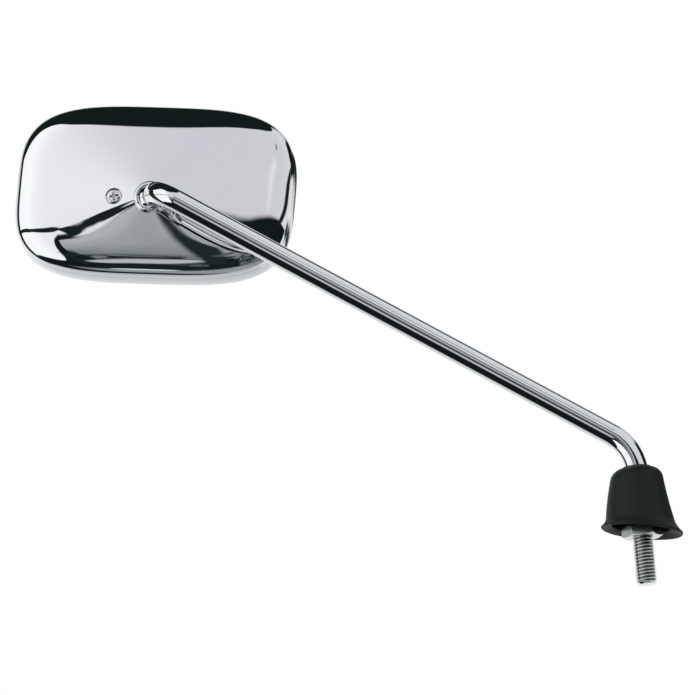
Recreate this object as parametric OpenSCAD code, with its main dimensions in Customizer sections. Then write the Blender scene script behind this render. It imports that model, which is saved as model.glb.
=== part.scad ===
// Chromed motorcycle mirror: a bent rod stem with an M10 stud and lock nut at the foot,
// a rubber boot over the nut, and a rounded rectangular head on a clamped ball joint.
// Z runs up the stud from the lock nut's seat, the stem leans towards -X, the glass looks along +Y.

/* [Stem] */
// Diameter of the bent rod
rod_d = 10; // [8:0.5:11]
// Height of the base bend's corner above the lock nut's seat
riser_h = 41.2; // [40:0.2:50]
// Length of the arm from corner to corner
arm_len = 243; // [140:1:320]
// Rise of the arm above horizontal, in degrees
arm_rise = 33.8; // [25:0.2:50]
// Centreline radius of the base bend
base_bend_r = 22; // [18:0.5:24]
// Turn of the elbow at the head, in degrees
elbow_turn = 81; // [70:0.5:90]
// Centreline radius of the elbow
elbow_r = 11; // [8:0.5:13]
// Distance from the elbow's corner to the centre of the ball
stub_len = 28; // [25:0.5:36]

/* [Stud and lock nut] */
// Outside diameter of the stud's M10 thread
stud_d = 9.8; // [7.8:0.05:9.9]
// Diameter at which the thread and the nut mesh
mesh_d = 9; // [7:0.05:9.2]
// Length of stud below the lock nut
stud_len = 21.3; // [15:0.1:35]
// Chamfer on the stud's tip
tip_chamfer = 1.5; // [0.8:0.1:2]
// Width across the nut's flats
nut_af = 16; // [15:0.5:18]
// Height of the nut
nut_h = 5; // [4:0.1:6]

/* [Rubber boot] */
// Height of the boot from rim to top
boot_h = 29.6; // [27:0.1:34]
// How far the pushed-up boot reaches past the start of the base bend
boot_overrun = 2.75; // [0:0.05:2.8]
// Diameter of the flared rim
boot_rim_d = 36.2; // [34:0.2:42]
// Diameter of the skirt where the flare begins
boot_skirt_d = 30.4; // [29:0.2:32]
// Diameter of the shoulder
boot_shoulder_d = 24; // [22:0.2:27]
// Radius that rounds the shoulder
boot_shoulder_r = 6; // [4:0.2:7]
// Wall of the skirt
boot_wall = 2.2; // [1.6:0.1:2.8]
// Width of the lip under the rim
boot_lip_w = 4.9; // [4:0.1:5.2]
// Height of the flare above the rim
boot_flare_h = 5.9; // [5:0.1:8]
// Thickness of the boot's top, which grips the rod
boot_crown = 7.6; // [6:0.1:9]

/* [Head] */
// Width of the head
head_w = 125; // [100:1:150]
// Height of the head
head_h = 81; // [70:1:100]
// Squareness of the outline: 2 is an ellipse, larger is squarer
outline_n = 3.5; // [2.6:0.1:4.5]
// Height of the outline's centre above the ball
ball_drop = 6.3; // [0:0.1:12]
// Rise of the rounded shoulder of the back
shoulder_rise = 6; // [4:0.1:8]
// Rise of the straight cone of the back
cone_rise = 7; // [5:0.1:9]
// Wall of the moulded back
shell_wall = 2; // [1.5:0.1:2.5]

/* [Pose of the head] */
// Turn of the head about the vertical, in degrees
head_pan = -6.5; // [-8:0.1:5]
// Tilt of the head, in degrees
head_tilt = -8.7; // [-10:0.1:5]
// Roll of the head about its own axis, in degrees
head_spin = 8.6; // [-20:0.1:20]

/* [Ball joint] */
// Diameter of the ball
ball_d = 13; // [12:0.1:14]
// Depth of the flat at the ball's end
ball_flat = 0.3; // [0.1:0.1:0.5]
// Diameter of the neck behind the ball
neck_d = 7; // [6:0.1:7.5]
// Distance from the ball's centre to the rod's full diameter
neck_reach = 11.6; // [10.5:0.1:13]
// Diameter of the hole in the back that the ball looks through
throat_d = 11.6; // [11:0.1:11.8]
// Outside radius of the round lip at the hole
lip_r = 7.2; // [6.8:0.1:8]
// Height of the lip above the widest place that the ball can reach in the throat
lip_rise = 1.2; // [1:0.1:1.5]
// Outside radius of the socket under the back
socket_r = 10; // [9.2:0.1:10.4]
// Depth of the socket below the ball's centre
socket_depth = 3.6; // [3.2:0.1:4]
// How far round the ball the pressure cup reaches, in degrees from its axis
cup_wrap = 60; // [50:1:62]
// Wall of the nylon pressure cup
cup_wall = 1.2; // [0.8:0.1:1.6]
// Wall of the dished friction washer
dish_wall = 0.8; // [0.5:0.1:1.2]

/* [Clamp] */
// Distance from the ball to the clamp screw
screw_x = 16.4; // [15.5:0.1:19]
// Distance from the ball to the heel that the clamp plate rocks on
heel_x = 14; // [12.5:0.1:17]
// Gap left between the socket and the clamp plate, so that the screw can tighten the joint
clamp_gap = 1.2; // [0.8:0.1:1.5]
// Thickness of the clamp plate
plate_t = 1.6; // [1.2:0.1:2]
// Width of the clamp plate
plate_w = 15; // [12:0.5:18]
// Diameter of the clamp screw's thread
screw_d = 4; // [3.5:0.1:4.5]
// Length of thread that shows past the clamp nut
screw_end = 1.6; // [1:0.1:2]
// Diameter of the clamp screw's head
screw_head_d = 7.2; // [6.8:0.1:7.6]
// Height of the clamp screw's head
screw_head_h = 2.4; // [2:0.1:2.8]
// Depth of the recess for the screw's head
recess_depth = 2.2; // [1.6:0.1:2.6]
// Width of the clamp nut across its flats
clamp_nut_af = 7; // [6.5:0.1:8]
// Height of the clamp nut
clamp_nut_h = 3.2; // [2.6:0.1:3.4]
// Thickness of the spring washer under the nut
spring_t = 1; // [0.8:0.1:1.2]

/* [Bezel and glass] */
// Depth of the bezel from the seam to its front edge
bezel_depth = 10; // [8.5:0.1:14]
// Width of the groove at the seam
seam_gap = 0.4; // [0.2:0.1:0.8]
// Wall of the bezel
bezel_wall = 1.6; // [1.2:0.1:2]
// Width of the lip that holds the glass
bezel_lip = 3; // [2.4:0.1:4]
// Thickness of the bezel's lip
bezel_lip_t = 1.2; // [0.8:0.1:1.6]
// Thickness of the glass
glass_t = 2; // [1.8:0.1:3]
// Radius of the convex glass
glass_r = 1200; // [1000:50:1600]
// Thickness of the foam pad behind the glass
pad_t = 2.4; // [1.5:0.1:3]
// Width of glass that the pad leaves bare all round
pad_margin = 4; // [3:0.5:10]
// Wall of the rubber gasket round the glass
gasket_wall = 0.8; // [0.6:0.1:1]

/* [Fits] */
// Gap between the ball and what bears on it
ball_fit = 0.1; // [0.05:0.01:0.15]
// Gap between the rod and the boot's bore
boot_fit = 0.3; // [0.2:0.05:0.4]
// Gap between turning threads
thread_fit = 0.08; // [0.05:0.01:0.1]
// Gap between parts that drop into one another
drop_fit = 0.2; // [0.1:0.05:0.3]

/* [Hidden] */

round_fn = 64;
outline_steps = 72;
dome_steps = 9;
edge_steps = 5;

rod_r = rod_d / 2;
ball_r = ball_d / 2;
neck_r = neck_d / 2;
throat_r = throat_d / 2;
half_w = head_w / 2;
half_h = head_h / 2;

// Heights in the head's own frame: the ball's centre is 0 and the back of the head is up
lip_top = sqrt(ball_r * ball_r - throat_r * throat_r) + lip_rise;
dome_top = lip_top - 0.1;
seam_z = dome_top - shoulder_rise - cone_rise;
front_z = seam_z - bezel_depth;
seat_r = ball_r + ball_fit;
cup_r = seat_r + cup_wall;
dish_r = cup_r + ball_fit + dish_wall;
plate_top = -socket_depth - clamp_gap;
plate_bottom = plate_top - plate_t;
nut_bottom = plate_bottom - spring_t - clamp_nut_h;
screw_hole_r = screw_d / 2 + drop_fit;
cup_hole_r = 2;
recess_z = dome_height(screw_x / half_w) - recess_depth;

// Channel of the bezel that holds the gasket, the glass and the pad
channel_z = front_z + bezel_lip_t;
glass_front_z = channel_z + gasket_wall;
glass_back_z = glass_front_z + glass_t;
glass_inset = bezel_wall + gasket_wall + drop_fit;

// Boot levels above the nut's seat
base_turn = 90 - arm_rise;
base_setback = base_bend_r * tan(base_turn / 2);
elbow_setback = elbow_r * tan(elbow_turn / 2);
boot_top_z = riser_h - base_setback + boot_overrun;
boot_rim_z = boot_top_z - boot_h;
boot_ceiling_z = boot_top_z - boot_crown;
boot_flare_z = boot_rim_z + boot_flare_h;

function arc(centre, radius, from, to, steps) =
    [for (i = [0:steps]) let (a = from + (to - from) * i / steps)
        centre + radius * [cos(a), sin(a)]];

// Signed power, which bends a circle into a rounded rectangle
function bend_power(x, p) = sign(x) * pow(abs(x), p);

// One ring of the outline: shrink is how far it lies inside the head's edge, share is its scale
function outline_point(angle, n, shrink) =
    [(half_w - shrink) * bend_power(cos(angle), 2 / n),
     (half_h - shrink) * bend_power(sin(angle), 2 / n)];

function outline_ring(share, n, shrink, z) =
    [for (i = [0:outline_steps - 1]) let (p = outline_point(360 * i / outline_steps, n, shrink))
        [share * p.x, share * (p.y + ball_drop), z]];

// Height of the back at a share of the way from the ball to the edge
function dome_height(share) =
    seam_z + cone_rise * (1 - share) + shoulder_rise * sqrt(max(0, 1 - pow(share, 8)));

function dome_share(i) = 1 - 0.95 * pow(i / dome_steps, 2.2);
function dome_n(share) = 2.2 + (outline_n - 2.2) * share;

// Height of the skin above the seam, on a surface drawn in by a wall's thickness
function skin_height(share, wall) =
    (dome_height(share) - seam_z) * (1 - wall / (shoulder_rise + cone_rise));

// The dome's rings from the edge to near the middle
function dome_rings(wall) =
    [for (i = [0:dome_steps]) let (s = dome_share(i))
        outline_ring(s, dome_n(s), wall, seam_z + skin_height(s, wall))];

// A closed skin through rings of equal length, each end closed by one face
module loft(rings) {
    count = len(rings[0]);
    points = [for (ring = rings) each ring];
    sides = [for (k = [0:len(rings) - 2], i = [0:count - 1])
        let (j = (i + 1) % count, a = k * count, b = a + count)
        each [[a + i, b + i, b + j], [a + i, b + j, a + j]]];
    last = (len(rings) - 1) * count;
    ends = [[for (i = [0:count - 1]) i], [for (i = [count - 1:-1:0]) last + i]];
    polyhedron(points, concat(sides, ends), convexity = 6);
}

// A section of [inset from the head's edge, height] points carried round the outline
module outline_sweep(section) {
    count = outline_steps;
    turns = len(section);
    points = [for (s = section) each outline_ring(1, outline_n, s[0], s[1])];
    faces = [for (k = [0:turns - 1], i = [0:count - 1])
        let (j = (i + 1) % count, a = k * count, b = ((k + 1) % turns) * count)
        each [[a + i, b + i, b + j], [a + i, b + j, a + j]]];
    polyhedron(points, faces, convexity = 6);
}

// Rod bent by an angle about a corner at the origin, coming up from below and turning to +X
module rod_bend(radius, turn) {
    translate([radius, 0, -radius * tan(turn / 2)])
        rotate([90, 0, 180])
            rotate_extrude(angle = turn, $fn = 96)
                translate([radius, 0]) circle(rod_r, $fn = round_fn);
}

module tube(outer_r, inner_r, z0, z1) {
    translate([0, 0, z0]) difference() {
        cylinder(h = z1 - z0, r = outer_r, $fn = round_fn);
        translate([0, 0, -1]) cylinder(h = z1 - z0 + 2, r = inner_r, $fn = round_fn);
    }
}

module hex(af, h) {
    cylinder(h = h, r = af / 2 / cos(30), $fn = 6);
}

// The straight lengths are a hair thinner than the bends and reach a little way into them
bend_step = 0.01;
bend_lap = 0.3;

// Straight length of rod between two bends
module rod_straight(z0, z1) {
    translate([0, 0, z0 - bend_lap])
        cylinder(h = z1 - z0 + 2 * bend_lap, r = rod_r - bend_step, $fn = round_fn);
}

// Puts its children at the far end of the stem, with the ball at the origin and the stub along Z
module at_ball() {
    translate([0, 0, riser_h]) rotate([0, -base_turn, 0])
        translate([0, 0, arm_len]) rotate([-elbow_turn, 0, 0])
            translate([0, 0, stub_len]) children();
}

// Where the ball's centre lies in the part's own frame
arm_dir = [-cos(arm_rise), 0, sin(arm_rise)];
ball_at = [0, 0, riser_h] + (arm_len + stub_len * cos(elbow_turn)) * arm_dir
    + [0, stub_len * sin(elbow_turn), 0];

// Puts a head piece, drawn with its back up, in the pose of the photograph
module in_head() {
    translate(ball_at) rotate([0, 0, head_pan]) rotate([head_tilt, 0, 0])
        rotate([0, head_spin, 0]) rotate([90, 0, 0]) children();
}

module stem() {
    color("gainsboro") union() {
        // stud, with a chamfered tip, and the waist where the nut's thread meshes
        translate([0, 0, -stud_len])
            cylinder(h = tip_chamfer, r1 = stud_d / 2 - tip_chamfer * 0.8, r2 = stud_d / 2, $fn = round_fn);
        translate([0, 0, tip_chamfer - stud_len])
            cylinder(h = stud_len - tip_chamfer, r = stud_d / 2, $fn = round_fn);
        cylinder(h = nut_h + drop_fit, r = mesh_d / 2, $fn = round_fn);
        rod_straight(nut_h + drop_fit + bend_lap, riser_h - base_setback);
        translate([0, 0, riser_h]) rotate([0, 0, 180]) rod_bend(base_bend_r, base_turn);
        translate([0, 0, riser_h]) rotate([0, -base_turn, 0]) {
            rod_straight(base_setback, arm_len - elbow_setback);
            translate([0, 0, arm_len]) rotate([0, 0, 90]) rod_bend(elbow_r, elbow_turn);
        }
        at_ball() {
            rotate_extrude($fn = round_fn) polygon([
                [0, elbow_setback - bend_lap - stub_len], [rod_r - bend_step, elbow_setback - bend_lap - stub_len],
                [rod_r - bend_step, -neck_reach], [neck_r, rod_r - neck_r - neck_reach], [neck_r, 0], [0, 0]
            ]);
            // ball, with the small flat that turning leaves at its end
            intersection() {
                sphere(ball_r, $fn = round_fn);
                translate([0, 0, -2 * ball_r])
                    cylinder(h = 3 * ball_r - ball_flat, r = 2 * ball_r, $fn = round_fn);
            }
        }
    }
}

// Hexagon nut with both faces chamfered and a countersunk bore
module lock_nut() {
    bore_r = mesh_d / 2 + thread_fit;
    corner_r = nut_af / 2 / cos(30);
    bevel = 0.9;
    sink = 0.8;
    color("silver") difference() {
        intersection() {
            hex(nut_af, nut_h);
            rotate_extrude($fn = round_fn) polygon([
                [0, 0], [nut_af / 2 - 0.2, 0], [corner_r, bevel], [corner_r, nut_h - bevel],
                [nut_af / 2 - 0.2, nut_h], [0, nut_h]
            ]);
        }
        translate([0, 0, -1]) cylinder(h = nut_h + 2, r = bore_r, $fn = round_fn);
        translate([0, 0, -0.01]) cylinder(h = sink, r1 = bore_r + sink, r2 = bore_r, $fn = round_fn);
        translate([0, 0, nut_h - sink + 0.01])
            cylinder(h = sink, r1 = bore_r, r2 = bore_r + sink, $fn = round_fn);
    }
}

// Bell-shaped boot: round shoulder, slightly conical skirt, flared rim with a broad lip beneath
module rubber_boot() {
    bore_r = rod_r + boot_fit;
    bore_chamfer = 0.8;
    rim_r = boot_rim_d / 2;
    skirt_r = boot_skirt_d / 2;
    shoulder_r = boot_shoulder_d / 2;
    taper = atan((skirt_r - shoulder_r) / (boot_top_z - boot_shoulder_r - boot_flare_z));
    edge_r = 0.8;
    crown_slope = 8;
    crown_fall = 0.6;
    shoulder = arc([shoulder_r - boot_shoulder_r, boot_top_z - boot_shoulder_r - crown_fall],
        boot_shoulder_r, 90 - crown_slope, -taper, edge_steps + 3);
    flare_reach = rim_r - skirt_r;
    flare = [for (i = [0:3]) let (s = i / 4)
        [skirt_r + flare_reach * pow(s, 1.6), boot_flare_z - (boot_flare_h - edge_r) * s]];
    rim = arc([rim_r - edge_r, boot_rim_z + edge_r], edge_r, 20, -80, edge_steps);
    mouth_r = rim_r - boot_lip_w;
    lip_slope = 0.39;
    lip_edge = 1.2;
    mouth_z = boot_rim_z + lip_slope * boot_lip_w;
    roof_r = shoulder_r - boot_wall;
    roof_round = 1.4;
    color("#1f2726") rotate_extrude($fn = round_fn) polygon(concat(
        [[bore_r, boot_ceiling_z], [bore_r, boot_top_z - bore_chamfer], [bore_r + bore_chamfer, boot_top_z]],
        shoulder, flare, rim,
        [[mouth_r, mouth_z], [mouth_r, mouth_z + lip_edge], [skirt_r - boot_wall, boot_flare_z + 1],
         [roof_r, boot_ceiling_z - roof_round], [roof_r - roof_round, boot_ceiling_z]]
    ));
}

// Moulded back: a domed skin, a ball socket with a round lip, a screw boss and a heel for the clamp
module head_shell() {
    recess_r = screw_head_d / 2 + drop_fit + 0.05;
    boss_r = recess_r + 1.4;
    heel_r = 3;
    rib_t = 1.6;
    cover = 0.4;
    throat_z = sqrt(seat_r * seat_r - throat_r * throat_r);
    throat_flare = 0.5;
    seat_z = 0.6;
    lip_bead = 0.9;
    lip_foot = 0.6;
    boss_top = dome_height((screw_x + boss_r) / half_w) - cover;
    heel_top = dome_height((heel_x + heel_r) / half_w) - cover;
    back_slope = cone_rise / (half_h - ball_drop);
    color("gainsboro") difference() {
        union() {
            loft(concat([for (i = [dome_steps:-1:0]) dome_rings(shell_wall)[i]], dome_rings(0)));
            rotate_extrude($fn = round_fn) polygon(concat(
                [[0, -socket_depth], [socket_r, -socket_depth],
                 [socket_r, dome_top - back_slope * socket_r - cover],
                 [lip_r + lip_foot, dome_top - back_slope * (lip_r + lip_foot) - cover / 2],
                 [lip_r, dome_top - back_slope * (lip_r + lip_foot) + lip_foot]],
                arc([lip_r - lip_bead, lip_top - lip_bead], lip_bead, 0, 90, edge_steps),
                [[0, lip_top]]
            ));
            translate([-screw_x, 0, -socket_depth])
                cylinder(h = boss_top + socket_depth, r = boss_r, $fn = round_fn);
            translate([heel_x, 0, plate_top])
                cylinder(h = heel_top - plate_top, r = heel_r, $fn = round_fn);
            translate([-screw_x, -rib_t / 2, -socket_depth])
                cube([screw_x + heel_x, rib_t, socket_depth + min(boss_top, heel_top)]);
        }
        sphere(seat_r, $fn = round_fn);
        translate([0, 0, -socket_depth - 1])
            cylinder(h = socket_depth + 1 + seat_z, r = cup_r + drop_fit, $fn = round_fn);
        cylinder(h = lip_top + 1, r = throat_r, $fn = round_fn);
        translate([0, 0, throat_z])
            cylinder(h = lip_top - throat_z + 0.01, r1 = throat_r, r2 = throat_r + throat_flare, $fn = round_fn);
        translate([-screw_x, 0, recess_z])
            cylinder(h = 2 * recess_depth, r = recess_r, $fn = round_fn);
        translate([-screw_x, 0, -socket_depth - 1])
            cylinder(h = recess_z + socket_depth + 2, r = screw_hole_r, $fn = round_fn);
    }
}

// Rim that is pushed onto the back: outer wall, spigot inside the back and a lip over the glass
module bezel() {
    round_r = 1.1;
    edge_break = 0.35;
    spigot_wall = 1.1;
    first = dome_share(1);
    spigot_inset = shell_wall + drop_fit;
    spigot_lean = (1 - first) * half_w;
    spigot_h = skin_height(first, shell_wall);
    inner = spigot_inset + spigot_lean + spigot_wall;
    section = concat(
        [[edge_break, seam_z - seam_gap], [0, seam_z - seam_gap - edge_break], [0, front_z + round_r]],
        arc([round_r, front_z + round_r], round_r, 180, 270, edge_steps),
        [[bezel_lip, front_z], [bezel_lip, channel_z], [bezel_wall, channel_z], [bezel_wall, seam_z - inner],
         [inner, seam_z - seam_gap], [inner, seam_z + spigot_h], [spigot_inset + spigot_lean, seam_z + spigot_h],
         [spigot_inset, seam_z - seam_gap]]
    );
    color("whitesmoke") outline_sweep([for (i = [len(section) - 1:-1:0]) section[i]]);
}

// How far the glass bows forward at a share of the way from its edge to its middle
function glass_bow(share) =
    let (full = half_w - glass_inset) full * full * (1 - share * share) / (2 * glass_r);

function glass_ring(share, inset, z) =
    let (spread = (half_w - inset) / (half_w - glass_inset))
    [for (i = [0:outline_steps - 1]) let (p = outline_point(360 * i / outline_steps, outline_n, inset))
        [share * p.x, share * p.y, z - glass_bow(share * spread)]];

// A sheet between two heights that bows with the glass
module bowed_sheet(inset, front, back) {
    shares = [1, 0.75, 0.5, 0.25, 0.03];
    translate([0, ball_drop, 0]) loft(concat(
        [for (i = [len(shares) - 1:-1:0]) glass_ring(shares[i], inset, front)],
        [for (s = shares) glass_ring(s, inset, back)]
    ));
}

module mirror_glass() {
    color("#dfe7ea") bowed_sheet(glass_inset, glass_front_z, glass_back_z);
}

// Rubber channel that wraps the glass's edge
module glass_gasket() {
    outer = bezel_wall + drop_fit / 2;
    inner = outer + gasket_wall;
    grip = inner + 1.2;
    gap = 0.05;
    color("#2a2a2c") outline_sweep([
        [outer, channel_z], [outer, glass_back_z + gasket_wall],
        [grip, glass_back_z + gasket_wall], [grip, glass_back_z + gap], [inner, glass_back_z + gap],
        [inner, glass_front_z - gap], [bezel_lip, glass_front_z - gap], [bezel_lip, channel_z]
    ]);
}

// Foam sheet stuck to the back of the glass, with a hole for the end of the clamp screw
module glass_pad() {
    glue = 0.1;
    hole_r = clamp_nut_af / 2 / cos(30) + 0.6;
    color("#4a4d50") difference() {
        bowed_sheet(glass_inset + pad_margin, glass_back_z + glue, glass_back_z + glue + pad_t);
        translate([-screw_x, 0, glass_front_z - 1])
            cylinder(h = glass_t + pad_t + 3, r = hole_r, $fn = round_fn);
    }
}

// Nylon cup that bears on the far side of the ball
module pressure_cup() {
    color("ivory") difference() {
        sphere(cup_r, $fn = round_fn);
        sphere(seat_r, $fn = round_fn);
        translate([0, 0, -cup_r * cos(cup_wrap)]) cylinder(h = 2 * cup_r, r = 2 * cup_r, $fn = round_fn);
        translate([0, 0, -2 * cup_r]) cylinder(h = 2 * cup_r, r = cup_hole_r, $fn = round_fn);
    }
}

// Dished washer of spring steel between the cup and the clamp plate
module friction_washer() {
    color("darkgray") difference() {
        sphere(dish_r, $fn = round_fn);
        sphere(cup_r + ball_fit, $fn = round_fn);
        translate([0, 0, plate_top]) cylinder(h = 2 * dish_r, r = 2 * dish_r, $fn = round_fn);
        translate([0, 0, -2 * dish_r]) cylinder(h = 2 * dish_r, r = cup_hole_r + 0.4, $fn = round_fn);
    }
}

// Pressed steel plate that the screw pulls against the ball, rocking on its heel
module clamp_plate() {
    bowl_r = dish_r + ball_fit;
    end_r = plate_w / 2;
    heel_end_r = 0.7 * end_r;
    color("#b8b9b2") difference() {
        union() {
            translate([-screw_x, 0, plate_bottom]) cylinder(h = plate_t, r = end_r, $fn = round_fn);
            translate([heel_x, 0, plate_bottom]) cylinder(h = plate_t, r = heel_end_r, $fn = round_fn);
            translate([0, 0, plate_bottom]) linear_extrude(plate_t) polygon([
                [-screw_x, -end_r], [heel_x, -heel_end_r], [heel_x, heel_end_r], [-screw_x, end_r]
            ]);
            intersection() {
                sphere(bowl_r + plate_t, $fn = round_fn);
                translate([0, 0, plate_bottom - 2 * bowl_r])
                    cylinder(h = 2 * bowl_r + plate_t / 2, r = 2 * bowl_r, $fn = round_fn);
            }
        }
        sphere(bowl_r, $fn = round_fn);
        translate([0, 0, -2 * bowl_r]) cylinder(h = 2 * bowl_r, r = cup_hole_r + 1, $fn = round_fn);
        translate([-screw_x, 0, plate_bottom - 1]) cylinder(h = plate_t + 2, r = screw_hole_r, $fn = round_fn);
    }
}

// Pan-head screw with a cross recess, reached from the back of the head
module clamp_screw() {
    slot_l = 4.3;
    slot_w = 1.1;
    slot_depth = 1.5;
    head_r = screw_head_d / 2;
    head_top = recess_z + screw_head_h;
    tip_z = nut_bottom - screw_end;
    tip_cut = 0.6;
    dome = 0.9;
    color("lightgray") translate([-screw_x, 0, 0]) difference() {
        union() {
            rotate_extrude($fn = round_fn) polygon(concat(
                [[0, recess_z], [head_r, recess_z], [head_r, head_top - dome]],
                arc([head_r - dome, head_top - dome], dome, 15, 75, edge_steps),
                [[head_r - 2 * dome, head_top], [0, head_top]]
            ));
            translate([0, 0, tip_z + tip_cut])
                cylinder(h = recess_z - tip_z, r = screw_d / 2, $fn = round_fn);
            translate([0, 0, tip_z])
                cylinder(h = tip_cut, r1 = screw_d / 2 - tip_cut, r2 = screw_d / 2, $fn = round_fn);
        }
        for (turn = [0, 90]) rotate(turn)
            translate([-slot_l / 2, -slot_w / 2, head_top - slot_depth])
                cube([slot_l, slot_w, slot_depth + 1]);
    }
}

// Split spring washer under the clamp nut
module spring_washer() {
    split = 0.6;
    color("dimgray") translate([-screw_x, 0, 0]) difference() {
        tube(clamp_nut_af / 2, screw_hole_r, plate_bottom - spring_t, plate_bottom);
        translate([0, -split / 2, plate_bottom - spring_t - 1]) cube([clamp_nut_af, split, spring_t + 2]);
    }
}

module clamp_nut() {
    color("silver") translate([-screw_x, 0, nut_bottom]) difference() {
        hex(clamp_nut_af, clamp_nut_h);
        translate([0, 0, -1]) cylinder(h = clamp_nut_h + 2, r = screw_d / 2 + thread_fit, $fn = round_fn);
    }
}

stem();
lock_nut();
rubber_boot();
in_head() head_shell();
in_head() bezel();
in_head() mirror_glass();
in_head() glass_gasket();
in_head() glass_pad();
in_head() pressure_cup();
in_head() friction_washer();
in_head() clamp_plate();
in_head() clamp_screw();
in_head() spring_washer();
in_head() clamp_nut();
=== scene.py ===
from math import cos, pi, radians, sin, sqrt, tan

import bmesh
import bpy
import numpy as np
from mathutils import Matrix, Vector


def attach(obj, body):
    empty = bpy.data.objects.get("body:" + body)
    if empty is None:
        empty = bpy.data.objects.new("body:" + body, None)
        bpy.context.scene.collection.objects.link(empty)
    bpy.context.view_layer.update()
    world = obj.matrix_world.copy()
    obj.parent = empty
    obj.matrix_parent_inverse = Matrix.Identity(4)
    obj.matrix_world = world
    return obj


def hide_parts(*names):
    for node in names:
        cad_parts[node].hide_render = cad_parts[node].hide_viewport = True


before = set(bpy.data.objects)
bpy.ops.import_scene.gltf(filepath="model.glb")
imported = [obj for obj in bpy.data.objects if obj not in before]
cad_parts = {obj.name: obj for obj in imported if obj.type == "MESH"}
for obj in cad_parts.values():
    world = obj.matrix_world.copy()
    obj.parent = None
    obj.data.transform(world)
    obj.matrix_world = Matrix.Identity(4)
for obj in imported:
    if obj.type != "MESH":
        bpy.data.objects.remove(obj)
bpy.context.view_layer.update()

# The camera: a long lens square to the mirror's arm, looking up at it a little from below, and
# rolled so that the stud leans as it does in the photograph. The frame is 695 by 695 pixels, and
# the corner of the stem's lower bend is set on its pixel in the photograph.
mm = 0.001
RISER_H = 41.2
PHOTO_PX = 695
MM_PER_PX = 0.4464
BASE_CORNER_PX = (633.6, 446.9)
CAMERA_DISTANCE = 10.0
SCALE_PLANE_BACK = 0.027
SENSOR = 36
image_right = Vector((0.9962, 0.0174, -0.0854)).normalized()
image_up = Vector((0.0872, -0.1986, 0.9763)).normalized()
to_camera = image_right.cross(image_up).normalized()
pixel = MM_PER_PX * mm
frame_centre = (Vector((0, 0, RISER_H * mm)) - image_right * (BASE_CORNER_PX[0] - PHOTO_PX / 2) * pixel
                + image_up * (BASE_CORNER_PX[1] - PHOTO_PX / 2) * pixel)
camera_data = bpy.data.cameras.new("camera")
camera_data.sensor_width = SENSOR
camera_data.lens = SENSOR * CAMERA_DISTANCE / (PHOTO_PX * pixel)
camera_data.clip_start = 1
camera_data.clip_end = 100
camera = bpy.data.objects.new("camera", camera_data)
bpy.context.scene.collection.objects.link(camera)
camera_place = frame_centre + to_camera * (CAMERA_DISTANCE - SCALE_PLANE_BACK)
camera_axes = Matrix((image_right, image_up, to_camera)).transposed().to_4x4()
camera.matrix_world = Matrix.Translation(camera_place) @ camera_axes
bpy.context.scene.camera = camera
bpy.context.scene.view_settings.view_transform = "Standard"


# The studio: chrome has no colour of its own, so what it mirrors is laid out here by direction: a
# pale tent under a dark ceiling, a dark room below it with a table, and a pale sheet behind. Only
# mirror rays see them: the camera and matt surfaces see plain white.
def add_node(tree, kind, inputs, **settings):
    """Adds a node with its settings. Each input, by name or number, takes a socket or a value."""
    node = tree.nodes.new(kind)
    for setting, value in settings.items():
        setattr(node, setting, value)
    for name, value in inputs.items():
        if isinstance(value, bpy.types.NodeSocket):
            tree.links.new(value, node.inputs[name])
        else:
            node.inputs[name].default_value = value
    return node


def hex_colour(code):
    """An sRGB hex code as linear RGBA."""
    values = [int(code[i:i + 2], 16) / 255 for i in (1, 3, 5)]
    return [v / 12.92 if v <= 0.04045 else ((v + 0.055) / 1.055) ** 2.4 for v in values] + [1]


# Tones of the tent's sheets, by azimuth: 0 is towards the camera and 90 is +X
TENT = [(-180, "#dcdedf"), (-110, "#dfe1e2"), (-95, "#fafafa"), (-45, "#fefefe"), (-26, "#e9e9ec"),
        (-12, "#cfcfd4"), (30, "#ced0d4"), (55, "#d3d4d8"), (80, "#dadbde"), (180, "#dcdedf")]
# Tones of the sheet behind, and of the table from its near edge to its far one, by elevation
REAR_TONES = [(-70, "#b4babd"), (-35, "#cfd2d4"), (-10, "#ececed"), (15, "#dcdedf"), (45, "#b9bfc2")]
TABLE_TONES = [(-40, "#6a7173"), (-12, "#6d7476"), (-3, "#7d8386"), (5, "#92979a"), (11, "#b0b3b6"),
               (20, "#b2b5b8")]
# Edges as azimuth and elevation: the ceiling begins over the first, the room under the second, and
# the table lies between the last two
CEILING = [(-180, 48), (-140, 46), (-122, 26), (-90, 36), (-75, 47), (-60, 57), (-40, 59), (-20, 53),
           (0, 55), (20, 59), (45, 62), (84, 64), (112, 63), (130, 50), (180, 48)]
ROOM = [(-180, -90), (-112, -88), (-104, -38), (-90, -31), (-60, -32), (-42, -31), (-39, -28),
        (-35, -20), (-33, -14), (-31.2, -5), (-30, 3), (-29, 9), (-28, 14), (-26, 18), (-24, 15),
        (-21, 12.5), (-9, 13), (-4, 22), (0, 24.3), (5, 23.8), (10, 22.6), (20, 19.6), (40, 13),
        (60, 5), (90, -3), (98, -4), (104, -60), (110, -90), (180, -90)]
TABLE_BACK = [(-180, -90), (-29.5, -90), (-27, 13), (-24, 14), (-18, 11.5), (-8, 15), (-4, 17.5),
              (3, 17.5), (5, 5), (13, -12), (20, -24), (34, -42), (60, -90), (180, -90)]
TABLE_FRONT = [(-180, 0), (-29, 0), (-26, -2), (-24.4, -9), (-22.6, -20), (-21.4, -34), (-18, -34),
               (-16, -20), (-12, -6), (-4, -20), (6, -52), (180, -60)]
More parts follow.
